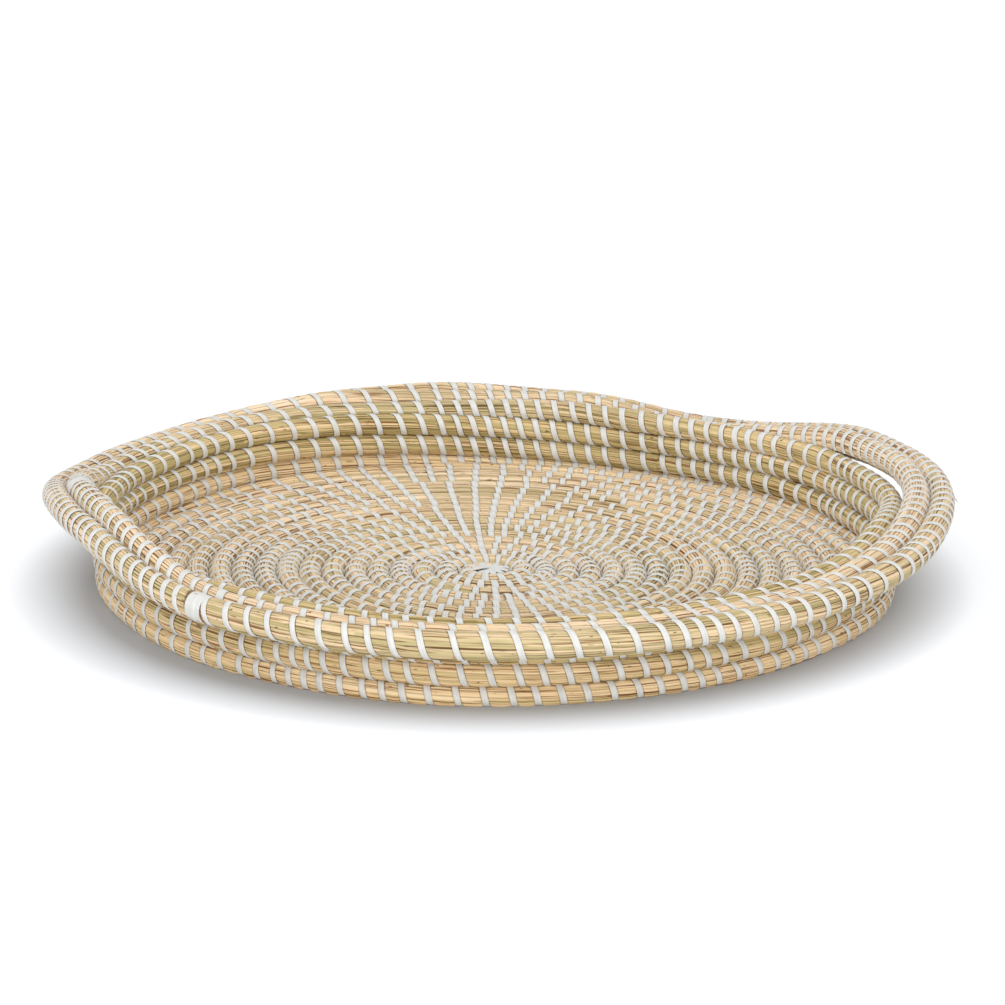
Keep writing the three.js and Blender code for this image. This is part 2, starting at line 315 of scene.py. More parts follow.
def plan_stitches():
    """The turns at which the stitches lie."""

    def around(turn):
        turn = np.array([turn])
        return TAU * float(profile(row_at(turn), azimuth_at(turn))[0][0])

    def spacing(turn):
        return float(stitch_spacing(np.array([turn]))[0])

    turns = [FIRST_STITCH]
    while turns[-1] < 1:
        turns.append(turns[-1] + spacing(turns[-1]) / around(turns[-1]))
    before = 0
    while turns[before] + 1 < RIM_END - END_CLEARANCE:
        drift = BASE_DRIFT if turns[before] < BASE_ROWS - 1 else WALL_DRIFT
        there = turns[before] + 1 + (drift + rng.normal(0, STITCH_SPREAD)) / around(turns[before] + 1)
        wanted = spacing(there)
        gap = (there - turns[-1]) * around(there)
        before += 1
        if gap < CLOSEST_SHARE * wanted:
            continue
        extra = int(gap / wanted - EXTRA_SHARE)
        start = turns[-1]
        for k in range(extra):
            turns.append(start + (there - start) * (k + 1) / (extra + 1))
        turns.append(there)
    lengths = length_of(np.array(turns))
    for _ in range(EVENING_PASSES):
        lengths[1:-1] += EVENING_SHARE * ((lengths[:-2] + lengths[2:]) / 2 - lengths[1:-1])
    turns = turn_of(lengths)
    for first, last in HOLD_TURNS:
        ends = length_of(np.array([first, last]))
        count = round((ends[1] - ends[0]) / HOLD_SPACING)
        even = turn_of(np.linspace(*ends, count + 1))
        turns = np.concatenate([turns[(turns < first) | (turns > last)], even])
        turns.sort()
    return turns


STITCHES = plan_stitches()
STITCH_LENGTHS = length_of(STITCHES)


def drawn_in(length, angle, turn):
    """How hard the nearest stitch draws the bundle in, from 0 to 1."""
    around = ((angle - seam_angle(turn)[:, None]) / TAU) % 1
    place = length[:, None] - lean_at(turn)[:, None] * (around - 0.5)
    after = np.clip(np.searchsorted(STITCH_LENGTHS, place), 1, len(STITCH_LENGTHS) - 1)
    before = after - 1
    away = np.minimum(np.abs(place - STITCH_LENGTHS[before]), np.abs(place - STITCH_LENGTHS[after]))
    return np.exp(-((away / PINCH_REACH) ** 2))


def seam_shade_at(turn, angle):
    """How deep a point lies in a seam with the row before or after, from 0 to 1, which sets the painted shade
    there.
    """
    depth = np.zeros_like(angle)
    for later, turned in ((turn, 0.0), (turn + 1, math.pi)):
        sewn = sewn_at(seam_gap(later)) * (later > 1) * (later < RIM_END)
        away = (angle - seam_angle(later)[:, None] - turned + math.pi) % TAU - math.pi
        depth = np.maximum(depth, sewn[:, None] * np.exp(-((away / SEAM_SHADE_REACH) ** 2)))
    return depth


# The grass along the coil as it was fed in, by turn: its tone, from olive to peach, and the golden lot, which
# is the wall and the row under it
LOTS = (
    (0, 0.62), (2, 0.68), (5, 0.62), (9, 0.67), (13, 0.68), (16.4, 0.78),
    (17.0, 0.94), (17.3, 0.94), (17.45, 0.62), (17.75, 0.62), (17.85, 0.5),
    (18.1, 0.48), (18.4, 0.48), (18.55, 0.56), (18.75, 0.48), (19.0, 0.46),
    (20.1, 0.47), (20.25, 0.66), (20.45, 0.80), (20.7, 0.80),
    (21.0, 0.80), (21.3, 0.76), (21.45, 0.50), (21.75, 0.56), (21.9, 0.76), (22.2, 0.80),
)
GOLDEN_LOT = ((15.9, 0.0), (16.1, 1.0), (19.95, 1.0), (20.05, 0.0))


# Meshes
def add_mesh(name, points, faces, material, values, uv):
    """A mesh object from points in millimetres and faces of any size, with values at its points."""
    mesh = bpy.data.meshes.new(name)
    points = points.reshape(-1, 3) * MM
    corners = np.concatenate([f.ravel() for f in faces]).astype(np.int32)
    sizes = np.concatenate([np.full(len(f), f.shape[1]) for f in faces])
    starts = np.concatenate([[0], np.cumsum(sizes)[:-1]]).astype(np.int32)
    mesh.vertices.add(len(points))
    mesh.vertices.foreach_set("co", points.astype(np.float32).ravel())
    mesh.loops.add(len(corners))
    mesh.loops.foreach_set("vertex_index", corners)
    mesh.polygons.add(len(starts))
    mesh.polygons.foreach_set("loop_start", starts)
    mesh.polygons.foreach_set("use_smooth", np.full(len(starts), True))
    for key, value in values.items():
        kind, field = ("FLOAT_VECTOR", "vector") if value.shape[-1] == 3 else ("FLOAT", "value")
        attribute = mesh.attributes.new(key, kind, "POINT")
        attribute.data.foreach_set(field, value.astype(np.float32).ravel())
    mesh.uv_layers.new(name="OFBake").data.foreach_set("uv", uv.astype(np.float32).ravel())
    mesh.update(calc_edges=True)
    mesh.validate()
    mesh.materials.append(material)
    obj = bpy.data.objects.new(name, mesh)
    bpy.context.scene.collection.objects.link(obj)
    return obj


def tube_faces(rings, columns):
    """Quads of a tube of rings, and the ring and column of each corner."""
    ring, column = np.meshgrid(np.arange(rings - 1), np.arange(columns), indexing="ij")
    ring, column = ring.ravel(), column.ravel()
    following = (column + 1) % columns
    near, far = ring * columns, (ring + 1) * columns
    quads = np.stack([near + column, near + following, far + following, far + column], axis=1)
    rings_of = np.stack([ring, ring, ring + 1, ring + 1], axis=1)
    columns_of = np.stack([column, column + 1, column + 1, column], axis=1)
    return quads, rings_of, columns_of


def strip_faces(count, segments):
    """Faces of a number of strips, each closed at its ends, and the ring and column of each corner of one."""
    sides = len(STRIP_SECTION)
    quads, rings_of, columns_of = tube_faces(segments + 1, sides)
    ends = np.concatenate([STRIP_ENDS, STRIP_ENDS[:, ::-1] + segments * sides])
    each = np.concatenate([quads[:, ::-1], ends])
    offset = (np.arange(count) * (segments + 1) * sides)[:, None, None]
    return (each[None] + offset).reshape(-1, 4), rings_of[:, ::-1], columns_of[:, ::-1]


# Maps for baking: margins are parts of a row or of a cell
MAP_MARGIN, ROW_MARGIN, END_SPOT, ROW_SHARE = 0.004, 0.06, 0.002, 0.9
CELL_MARGIN, FACE_MARGIN = 0.05, 0.1
FACE_SQUARE = np.array([[0, 0], [1, 0], [1, 1], [0, 1]]) * (1 - 2 * FACE_MARGIN) + FACE_MARGIN


def tube_map(rings_of, columns_of, rings, columns, caps):
    """A map that lays the tube out flat in rows, so that a texture fits it closely."""
    rows = max(1, round(math.sqrt(rings / columns * ROW_SHARE)))
    per_row = (rings - 1) / rows
    middle = rings_of.min(axis=1, keepdims=True)
    row = np.minimum(np.floor(middle / per_row), rows - 1)
    u = MAP_MARGIN + (1 - 2 * MAP_MARGIN) * (rings_of - row * per_row) / per_row
    v = (row + ROW_MARGIN + (1 - 2 * ROW_MARGIN) * columns_of / columns) / rows
    flat = np.stack([u, v], axis=2).reshape(-1, 2)
    ends = np.zeros((sum(c.size for c in caps), 2))
    return np.concatenate([flat, ends + END_SPOT])


def cell_map(count, cell):
    """A map that puts a number of copies of a cell in a square grid."""
    grid = math.ceil(math.sqrt(count))
    corner = np.stack([np.arange(count) % grid, np.arange(count) // grid], axis=1)[:, None, :]
    return ((cell[None] + corner) / grid).reshape(-1, 2)


# Random variety along the coil
SOFTEN_PASSES = 2


def random_runs(length, shortest, longest, low, high):
    """Values that hold for a random stretch of the coil and then change."""
    cuts = np.cumsum(rng.uniform(shortest, longest, int((length[-1] - length[0]) / shortest) + 2))
    cuts += length[0] - rng.uniform(0, longest)
    return rng.uniform(low, high, len(cuts) + 1)[np.searchsorted(cuts, length)]


def random_drift(length, span, size):
    """A value that wanders gently along the coil."""
    knots = np.arange(length[0] - span, length[-1] + 2 * span, span)
    return np.interp(length, knots, rng.normal(0, size, len(knots)))


def soften(values):
    """Values with their steps evened out."""
    for _ in range(SOFTEN_PASSES):
        padded = np.concatenate([values[:1], values, values[-1:]])
        values = 0.25 * padded[:-2] + 0.5 * padded[1:-1] + 0.25 * padded[2:]
    return values


# Blades in a bundle, each with a column of points at its edge and at its two shoulders. Runs are the shortest
# and longest stretch, then the least and most. Drifts are span and size.
BLADE_COLUMNS = np.array([0, 0.26, 0.74])
EDGE_SPAN, EDGE_SPREAD = 45, 0.16
BLADE_TWIST, TWIST_DRIFT = 0.0042, (160, 0.12)
TONE_RUNS, TONE_SPREAD = (30, 170, -1, 1), 0.3
LIFT_RUNS, TILT_DRIFT = (35, 170, -0.24, 0.24), (60, 0.07)
SLIT_RUNS, LEAST_SLIT, SLIT_DEPTH = (8, 70, -0.25, 1.0), 0.06, 0.75
BODY_DRIFT, FLATTENED = (30, 0.1), 0.55


def grass_bundle(name, first, last, blades, step, material):
    """A length of bundle made of blades that lie along it, each with its own height, width and tone."""
    start, end = length_of(first), length_of(last)
    length = np.linspace(start, end, int((end - start) / step) + 1)
    turn = turn_of(length)
    rings = len(length)
    width = TAU / blades

    def for_blades(value):
        return np.stack([value() for _ in range(blades)], axis=1)

    def by_column(edge, left, right):
        return np.stack([edge, left, right], axis=2).reshape(rings, -1)

    wander = for_blades(lambda: random_drift(length, EDGE_SPAN, EDGE_SPREAD * width))
    edges = np.arange(blades) * width + wander
    edges += (BLADE_TWIST * length + random_drift(length, *TWIST_DRIFT))[:, None]
    nexts = np.concatenate([edges[:, 1:], edges[:, :1] + TAU], axis=1)
    angle = by_column(*(edges + part * (nexts - edges) for part in BLADE_COLUMNS))
    tone = for_blades(lambda: random_runs(length, *TONE_RUNS))
    tone *= np.abs(tone)
    lift = for_blades(lambda: soften(random_runs(length, *LIFT_RUNS)))
    tilt = for_blades(lambda: random_drift(length, *TILT_DRIFT))
    slit = np.clip(for_blades(lambda: soften(random_runs(length, *SLIT_RUNS))), LEAST_SLIT, 1)
    height = by_column(np.minimum(lift, np.roll(lift, 1, 1)) - SLIT_DEPTH * slit, lift - tilt, lift + tilt)
    tones = by_column((tone + np.roll(tone, 1, 1)) / 2, tone, tone)
    # How deep the slit is at each blade's edge, which the material turns into painted shade between blades
    groove_shade = by_column(slit, np.zeros_like(slit), np.zeros_like(slit))
    held = drawn_in(length, angle, turn)
    body = bundle_radius(turn) + random_drift(length, *BODY_DRIFT)
    radius = body[:, None] + height * (1 - FLATTENED * held) - PINCH * held
    columns = angle.shape[1]
    points = on_bundle(np.repeat(turn[:, None], columns, axis=1), angle, radius)
    quads, rings_of, columns_of = tube_faces(rings, columns)
    caps = [np.arange(columns)[None, ::-1], np.arange(columns)[None, :] + (rings - 1) * columns]
    around = (np.arange(blades)[:, None] + BLADE_COLUMNS).ravel() * width
    across, up = GRAIN_RADIUS * np.cos(around), GRAIN_RADIUS * np.sin(around)
    values = {
        "tone": (between(turn, LOTS)[:, None] + TONE_SPREAD * tones)[..., None],
        "groove_shade": groove_shade[..., None],
        # How deep each point lies in a seam, which the material turns into painted shade
        "seam_shade": seam_shade_at(turn, angle)[..., None],
        "held": held[..., None],
        "gold": np.broadcast_to(between(turn, GOLDEN_LOT)[:, None, None], (*angle.shape, 1)),
        "grain": np.stack(np.broadcast_arrays(length[:, None], across, up), axis=2),
    }
    uv = tube_map(rings_of, columns_of, rings, columns, caps)
    return add_mesh(name, points, [quads, *caps], material, values, uv)


def ribbons(name, lengths, seam, lean, open_share, lifted, segments, material):
    """Strips wound once round the bundle at lengths along it, from the seam with the row before and back."""
    count = len(lengths)
    part = np.linspace(0, 1, segments + 1)[None, :]
    part = open_share[:, None] + (1 - 2 * open_share[:, None]) * part
    angle = seam[:, None] + TAU * part
    place = lengths[:, None] + lean[:, None] * (part - 0.5)
    width = STRIP_WIDTH * rng.normal(1, STRIP_WIDTH_SPREAD, count)
    tucked = TUCK_DEPTH * np.exp(-part / TUCK_SHARE) + TUCK_DEPTH * np.exp(-(1 - part) / TUCK_SHARE)
    sides = []
    for across, up in STRIP_SECTION:
        turn = turn_of(place + across * width[:, None])
        seat = bundle_radius(turn) - PINCH + STRIP_SEAT + lifted[:, None]
        sides.append(on_bundle(turn, angle, seat + up * STRIP_THICKNESS - tucked))
    points = np.stack(sides, axis=2)
    faces, rings_of, columns_of = strip_faces(count, segments)
    shape = points.shape[:3]
    # A draw that nothing uses, which keeps the draws after it as they are
    rng.uniform(-1, 1, count)
    across = np.broadcast_to(np.array([a for a, _ in STRIP_SECTION]), shape)
    along = np.broadcast_to((part * TAU * GRAIN_RADIUS)[:, :, None], shape)
    strip = np.broadcast_to(np.arange(count)[:, None, None], shape)
    values = {"weave": np.stack([across, along, strip], axis=3)}
    flat = np.stack([rings_of / segments, columns_of / len(STRIP_SECTION)], axis=2).reshape(-1, 2)
    ends = np.full((2 * STRIP_ENDS.size, 2), CELL_MARGIN)
    cell = np.concatenate([flat * (1 - 2 * CELL_MARGIN) + CELL_MARGIN, ends])
    return add_mesh(name, points, [faces], material, values, cell_map(count, cell))


# Materials
def linear(*rgb):
    """A colour written as it shows on screen, out of 255, as the shader's own values."""
    shares = [c / 255 for c in rgb]
    return tuple(c / 12.92 if c <= 0.04045 else ((c + 0.055) / 1.055) ** 2.4 for c in shares) + (1.0,)


def grey(level):
    return (level, level, level, 1)


class Nodes:
    """A material's node tree, built by short calls."""

    def __init__(self, name):
        self.material = bpy.data.materials.new(name)
        self.material.use_nodes = True
        self.tree = self.material.node_tree
        self.shader = self.tree.nodes["Principled BSDF"]

    def add(self, kind, **settings):
        node = self.tree.nodes.new(kind)
        for key, value in settings.items():
            setattr(node, key, value)
        return node

    def link(self, source, target):
        self.tree.links.new(source, target)

    def value(self, name):
        return self.add("ShaderNodeAttribute", attribute_name=name).outputs["Fac"]

    def vector(self, name):
        return self.add("ShaderNodeAttribute", attribute_name=name).outputs["Vector"]

    def maths(self, operation, first, second):
        node = self.add("ShaderNodeMath", operation=operation)
        for socket, value in zip(node.inputs, (first, second)):
            if isinstance(value, (int, float)):
                socket.default_value = value
            else:
                self.link(value, socket)
        return node.outputs[0]

    def scaled(self, value, size, start):
        return self.maths("ADD", self.maths("MULTIPLY", value, size), start)

    def varied(self, value, noise, size):
        """A value with noise about a half added to it."""
        return self.maths("ADD", value, self.maths("MULTIPLY", self.maths("SUBTRACT", noise, 0.5), size))

    def ramp(self, factor, stops):
        node = self.add("ShaderNodeValToRGB")
        elements = node.color_ramp.elements
        while len(elements) < len(stops):
            elements.new(0.5)
        for element, (place, colour) in zip(elements, stops):
            element.position = place
            element.color = colour
        self.link(factor, node.inputs[0])
        return node.outputs[0]

    def noise(self, vector, stretch, detail):
        stretched = self.add("ShaderNodeVectorMath", operation="MULTIPLY")
        self.link(vector, stretched.inputs[0])
        stretched.inputs[1].default_value = stretch
        node = self.add("ShaderNodeTexNoise")
        node.inputs["Scale"].default_value = 1.0
        node.inputs["Detail"].default_value = detail
        self.link(stretched.outputs[0], node.inputs["Vector"])
        return node.outputs["Fac"]

    def mix(self, blend, factor, first, second):
        """Two colours, which are the node's sockets 6 and 7, mixed by a factor."""
        node = self.add("ShaderNodeMix", data_type="RGBA", blend_type=blend)
        for socket, value in zip((node.inputs[0], node.inputs[6], node.inputs[7]), (factor, first, second)):
            if isinstance(value, (int, float, tuple)):
                socket.default_value = value
            else:
                self.link(value, socket)
        return node.outputs[2]

    def bump(self, height, strength, distance):
        node = self.add("ShaderNodeBump")
        node.inputs["Strength"].default_value = strength
        node.inputs["Distance"].default_value = distance
        self.link(height, node.inputs["Height"])
        self.link(node.outputs[0], self.shader.inputs["Normal"])


# Colours of the grass by tone, the tint of the golden lot, the flecks, nicks and lines that darken it, and
# the painted shade in the slits between blades, in the seams between rows and beside the stitches
GRASS_STOPS = (
    (0.0, linear(130, 103, 58)),
    (0.18, linear(164, 148, 98)),
    (0.38, linear(196, 180, 131)),
    (0.58, linear(222, 200, 156)),
    (0.78, linear(242, 213, 175)),
    (1.0, linear(248, 227, 194)),
)
GOLD = (1.01, 0.98, 0.86, 1)
FLECK_BROWN, NICK_BROWN, LINE_BROWN = linear(150, 100, 54), linear(96, 62, 30), linear(152, 112, 66)
SLIT_SHADE_BROWN, SEAM_SHADE_BROWN, STITCH_SHADOW_BROWN = linear(112, 76, 40), linear(104, 70, 38), linear(128, 92, 52)
FLECK_STOPS = ((0.7, grey(0)), (0.8, grey(0.75)))
NICK_STOPS = ((0.72, grey(0)), (0.77, grey(0.85)))
LINE_STOPS = ((0.35, grey(0.9)), (0.42, grey(0)))
STITCH_SHADOW_STOPS = ((0.5, grey(0)), (0.72, grey(0.8)))
SEAM_SHADE_STRENGTH = 0.9

# How many times each pattern changes in about a millimetre: along the blade, then across it
STREAK, BLOTCH, LINE = (0.014, 1.9, 1.9), (0.045, 0.3, 0.3), (0.022, 1.45, 1.45)
FLECK, NICK, RIDGE = (0.12, 0.75, 0.75), (0.22, 0.8, 0.8), (0.03, 2.4, 2.4)


def grass_material(name):
    n = Nodes(name)
    grain = n.vector("grain")
    streak = n.noise(grain, STREAK, detail=2.0)
    tone = n.varied(n.value("tone"), streak, size=0.6)
    tone = n.varied(tone, n.noise(grain, BLOTCH, detail=2.0), size=0.35)
    colour = n.ramp(tone, GRASS_STOPS)
    colour = n.mix("MULTIPLY", n.value("gold"), colour, GOLD)
    colour = n.mix("MIX", n.ramp(n.noise(grain, FLECK, detail=1.0), FLECK_STOPS), colour, FLECK_BROWN)
    colour = n.mix("MIX", n.ramp(n.noise(grain, NICK, detail=1.0), NICK_STOPS), colour, NICK_BROWN)
    line = n.ramp(n.noise(grain, LINE, detail=1.0), LINE_STOPS)
    colour = n.mix("MULTIPLY", line, colour, LINE_BROWN)
    # Painted shade in the slit between blades
    colour = n.mix("MULTIPLY", n.value("groove_shade"), colour, SLIT_SHADE_BROWN)
    # Painted shade in the seams between rows
    colour = n.mix("MULTIPLY", n.maths("MULTIPLY", n.value("seam_shade"), SEAM_SHADE_STRENGTH), colour, SEAM_SHADE_BROWN)
    # Painted shadow beside each stitch, where it draws the bundle in
    colour = n.mix("MULTIPLY", n.ramp(n.value("held"), STITCH_SHADOW_STOPS), colour, STITCH_SHADOW_BROWN)
    n.link(colour, n.shader.inputs["Base Color"])
    n.link(n.scaled(streak, size=0.3, start=0.45), n.shader.inputs["Roughness"])
    n.shader.inputs["Specular IOR Level"].default_value = 0.3
    n.bump(n.noise(grain, RIDGE, detail=2.0), strength=0.5, distance=0.0003)
    return n.material


# The strip has fine lines along it and a faint cloud. How many times each changes is given across the strip,
# along it and from strip to strip.
STRIP_STOPS = ((0.3, linear(203, 203, 199)), (0.7, linear(232, 232, 229)))
STRIP_LINES, STRIP_CLOUD = (9.0, 0.02, 3.0), (1.0, 0.3, 3.0)
LINES_SHARE, CLOUD_SHARE = 0.6, 0.4


def strip_material(name):
    n = Nodes(name)
    weave = n.vector("weave")
    lines = n.noise(weave, STRIP_LINES, detail=1.0)
    cloud = n.noise(weave, STRIP_CLOUD, detail=2.0)
    shade = n.maths("ADD", n.maths("MULTIPLY", lines, LINES_SHARE), n.maths("MULTIPLY", cloud, CLOUD_SHARE))
    n.link(n.ramp(shade, STRIP_STOPS), n.shader.inputs["Base Color"])
    n.link(n.scaled(cloud, size=0.3, start=0.3), n.shader.inputs["Roughness"])
    n.bump(lines, strength=0.35, distance=0.0002)
    return n.material


grasses = {slot: grass_material(slot) for slot in ("straw_grass", "peach_grass", "olive_grass")}
white = strip_material("white_strip")


# The pieces
def shown(piece, slot, *nodes):
    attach(piece, "root")
    if nodes:
        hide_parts(*nodes)


def at_stitch(turn):
    """The stitch nearest to a turn, to hide where one length of grass ends and the next begins."""
    return float(STITCHES[np.argmin(np.abs(STITCHES - turn))])


# The bundles: name, turns where each starts and ends, blades and the step along them, slot and node
BASE_FIRST, BASE_SECOND, BASE_THIRD = at_stitch(8.4), at_stitch(12.0), at_stitch(14.7)
WALL_SPLICE, RIM_SPLICE = at_stitch(LOWER_END + 1), at_stitch(UPPER_END + 1)
BASE_BLADES, WALL_BLADES = (22, 2.2), (26, 1.8)
BUNDLES = (
    ("base_grass_centre", COIL_START, BASE_FIRST, BASE_BLADES, "straw_grass", "base_coil"),
    ("base_grass_inner", BASE_FIRST, BASE_SECOND, BASE_BLADES, "straw_grass", "base_coil"),
    ("base_grass_middle", BASE_SECOND, BASE_THIRD, BASE_BLADES, "straw_grass", "base_coil"),
    ("base_grass_outer", BASE_THIRD, BASE_ROWS, BASE_BLADES, "straw_grass", "base_coil"),
    ("wall_grass_lower", BASE_ROWS, LOWER_END, WALL_BLADES, "peach_grass", "wall_lower_coil"),
    ("wall_grass_middle", LOWER_END, WALL_SPLICE, WALL_BLADES, "olive_grass", "wall_upper_coil"),
    ("wall_grass_top", WALL_SPLICE, UPPER_END, WALL_BLADES, "olive_grass", "wall_upper_coil"),
    ("rim_grass_inner", UPPER_END, RIM_SPLICE, WALL_BLADES, "straw_grass", "rim_coil"),
    ("rim_grass_outer", RIM_SPLICE, RIM_END, WALL_BLADES, "straw_grass", "rim_coil"),
)
for name, first, last, fineness, slot, node in BUNDLES:
    shown(grass_bundle(name, first, last, *fineness, grasses[slot]), slot, node)

# The lashings: strip wound in close loops on either side of the raised hand-hold, as node, row, azimuth and
# loops, then how far apart loops are and how far a stitch keeps off them, in widths of strip
LASHINGS = (("lashing_front", 5, 207, 3), ("lashing_back", 4, 160, 5))
LASHING_SPACING, LASHING_CLEARANCE = 0.92, 0.6
LASHING_LEAN, LASHING_LIFT, LASHING_SEGMENTS = 0.5 * STRIP_WIDTH, 0.16, 24


def lashing_turn(row, azimuth):
    return row + BASE_ROWS - 1 + ((azimuth - CLIMB_START) % 360) / 360


def lashing(node, row, azimuth, loops):
    turn = lashing_turn(row, azimuth)
    order = np.arange(loops)
    places = length_of(turn) + (order - (loops - 1) / 2) * STRIP_WIDTH * LASHING_SPACING
    seam, lean = seam_angle(np.full(loops, turn)), np.full(loops, LASHING_LEAN)
    piece = ribbons(node + "_strip", places, seam, lean, np.zeros(loops), LASHING_LIFT * (order % 2),
                    LASHING_SEGMENTS, white)
    shown(piece, "white_strip", node)


# The stitches, except where a lashing covers the bundle
BASE_STITCH_SPLIT, BASE_SEGMENTS, WALL_SEGMENTS = 12, 12, 18


def stitches(name, first, last, segments):
    turns = STITCHES[(STITCHES >= first) & (STITCHES < last)]
    for _, row, azimuth, loops in LASHINGS:
        away = np.abs(length_of(turns) - length_of(lashing_turn(row, azimuth)))
        turns = turns[away > (loops * LASHING_SPACING / 2 + LASHING_CLEARANCE) * STRIP_WIDTH]
    open_share = np.where(seam_gap(turns) > HOLD_GAP, 0.0, SEWN_SHARE)
    piece = ribbons(name, length_of(turns), seam_angle(turns), lean_at(turns), open_share,
                    np.zeros(len(turns)), segments, white)
    shown(piece, "white_strip")


# Loose blades: slivers of grass that have sprung out of the bundle beside a seam. Pairs are least and most.
LOOSE_COUNT, LOOSE_STEPS = 130, 6
LOOSE_TURNS = (3.0, RIM_END - 0.3)
LOOSE_OFF_SEAM, LOOSE_REACH, LOOSE_TURN = (0.3, 0.7), (5, 13), (-0.35, 0.35)
LOOSE_RISE, LOOSE_WIDTH, LOOSE_TONE = (0.5, 2.0), (0.6, 1.2), (-0.15, 0.3)
LOOSE_ROOT, LOOSE_CURVE, LOOSE_TAPER, LOOSE_THICKNESS = 0.35, 1.6, 0.75, 0.11
LOOSE_SECTION = ((-0.5, 0.0), (0.0, 1.0), (0.5, 0.0), (0.0, -1.0))


def loose_blades(name):
    def drawn(limits):
        return rng.uniform(*limits, LOOSE_COUNT)

    def either_way():
        return rng.choice([-1, 1], LOOSE_COUNT)

    lengths = drawn(length_of(np.array(LOOSE_TURNS)))
    turns = turn_of(lengths)
    seam = seam_angle(turns) + np.where(rng.random(LOOSE_COUNT) < 0.5, 0.0, math.pi)
    angle = seam + either_way() * drawn(LOOSE_OFF_SEAM)
    reach = either_way() * drawn(LOOSE_REACH)
    turned, rise, width = drawn(LOOSE_TURN), drawn(LOOSE_RISE), drawn(LOOSE_WIDTH)
    part = np.linspace(0, 1, LOOSE_STEPS + 1)
    along = lengths[:, None] + reach[:, None] * part
    turn = turn_of(along)
    middle = angle[:, None] + turned[:, None] * part
    height = bundle_radius(turn) - LOOSE_ROOT + (rise[:, None] + LOOSE_ROOT) * part ** LOOSE_CURVE
    wide = width[:, None] * (1 - LOOSE_TAPER * part ** 2) / GRAIN_RADIUS
    columns = []
    for across, up in LOOSE_SECTION:
        columns.append(on_bundle(turn, middle + across * wide, height + LOOSE_THICKNESS * up))
    points = np.stack(columns, axis=2)
    shape = points.shape[:3]
    sides = len(LOOSE_SECTION)
    quads, _, _ = tube_faces(LOOSE_STEPS + 1, sides)
    ring = np.arange(sides)
    each = np.concatenate([quads, [ring[::-1], ring + LOOSE_STEPS * sides]])
    offset = (np.arange(LOOSE_COUNT) * (LOOSE_STEPS + 1) * sides)[:, None, None]
    faces = np.where(reach[:, None, None] > 0, each[None], each[None, :, ::-1]) + offset
    faces = faces.reshape(-1, sides)
    across = GRAIN_RADIUS * np.cos(middle)
    grain = np.broadcast_arrays(along[:, :, None], across[:, :, None], np.zeros((1, 1, sides)))
    tone = between(turns, LOTS) + drawn(LOOSE_TONE)
    none = np.zeros((*shape, 1))
    values = {
        "tone": np.broadcast_to(tone[:, None, None, None], none.shape),
        "groove_shade": none,
        "seam_shade": none,
        "held": none,
        "gold": np.broadcast_to(between(turns, GOLDEN_LOT)[:, None, None, None], none.shape),
        "grain": np.stack(grain, axis=3),
    }
    uv = cell_map(len(faces), FACE_SQUARE)
    shown(add_mesh(name, points, [faces], grasses["straw_grass"], values, uv), "straw_grass")


# The knot: strips crossed over the start of the coil, each a little higher than the last
KNOT_ARMS, KNOT_STEPS, KNOT_LENGTH = 6, 8, 19
KNOT_ARCH, KNOT_RISE, KNOT_SUNK, KNOT_TURN = 1.1, 0.22, 0.3, 0.35
KNOT_WEAVE = 2.0


def centre_knot():
    low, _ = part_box("centre_knot")
    points = []
    for k in range(KNOT_ARMS):
        turned = math.pi * k / KNOT_ARMS + KNOT_TURN
        for i in range(KNOT_STEPS + 1):
            x = (i / KNOT_STEPS - 0.5) * KNOT_LENGTH
            arch = KNOT_ARCH * (1 - (2 * i / KNOT_STEPS - 1) ** 2) + KNOT_RISE * k
            for across, up in STRIP_SECTION:
                y = across * STRIP_WIDTH
                z = low.z / MM - KNOT_SUNK + arch + up * STRIP_THICKNESS
                points.append((x * math.cos(turned) - y * math.sin(turned) + BASE_CENTRE[0],
                               x * math.sin(turned) + y * math.cos(turned) + BASE_CENTRE[1], z))
    faces, _, _ = strip_faces(KNOT_ARMS, KNOT_STEPS)
    rings = KNOT_ARMS * (KNOT_STEPS + 1)
    across = np.tile(np.array([a for a, _ in STRIP_SECTION]), rings)
    along = np.repeat(np.arange(rings), len(STRIP_SECTION)) * KNOT_WEAVE
    weave = np.stack([across, along, np.zeros_like(across)], axis=1)
    uv = np.tile(FACE_SQUARE, (len(faces), 1))
    piece = add_mesh("centre_knot_strips", np.array(points), [faces], white, {"weave": weave}, uv)
    shown(piece, "white_strip", "centre_knot")


# What is sewn or loose, in the order of the random draws
stitches("base_stitches_inner", 0, BASE_STITCH_SPLIT, BASE_SEGMENTS)
stitches("base_stitches_outer", BASE_STITCH_SPLIT, BASE_ROWS, BASE_SEGMENTS)
stitches("wall_stitches", BASE_ROWS, UPPER_END, WALL_SEGMENTS)
stitches("rim_stitches", UPPER_END, RIM_END, WALL_SEGMENTS)
loose_blades("loose_blades")
for settings in LASHINGS:
    lashing(*settings)
centre_knot()

# The studio. Directions are the picture's: right, back and up, from the centre of the base.
VIEW_TURN = math.radians(-22.5)
RIGHT = Vector((math.cos(VIEW_TURN), math.sin(VIEW_TURN), 0))
BACK = Vector((-math.sin(VIEW_TURN), math.cos(VIEW_TURN), 0))
UP = Vector((0, 0, 1))
MIDDLE = Vector(BASE_CENTRE * MM)

# The camera in degrees and metres, and where the centre of the base is in the photograph, in pixels
VIEW_ELEVATION, VIEW_DISTANCE = 17.0, 3.9
PHOTO_SIZE, FOCAL_PIXELS, CENTRE_PIXEL = 1005, 7800, (490, 585.5)
SENSOR_WIDTH, CLIP_END = 36, 50

# The lights in metres and watts, and the level of the light from all round
OVERHEAD_SPOT, OVERHEAD_SIZE, OVERHEAD_POWER = (-0.35, -1.0, 2.0), (1.5, 1.5), 8
FRONT_SPOT, FRONT_TARGET, FRONT_SIZE, FRONT_POWER = (0, -2.2, 0.34), (0, 0, 0.03), (2.2, 0.5), 17
WORLD_LEVEL = 0.9
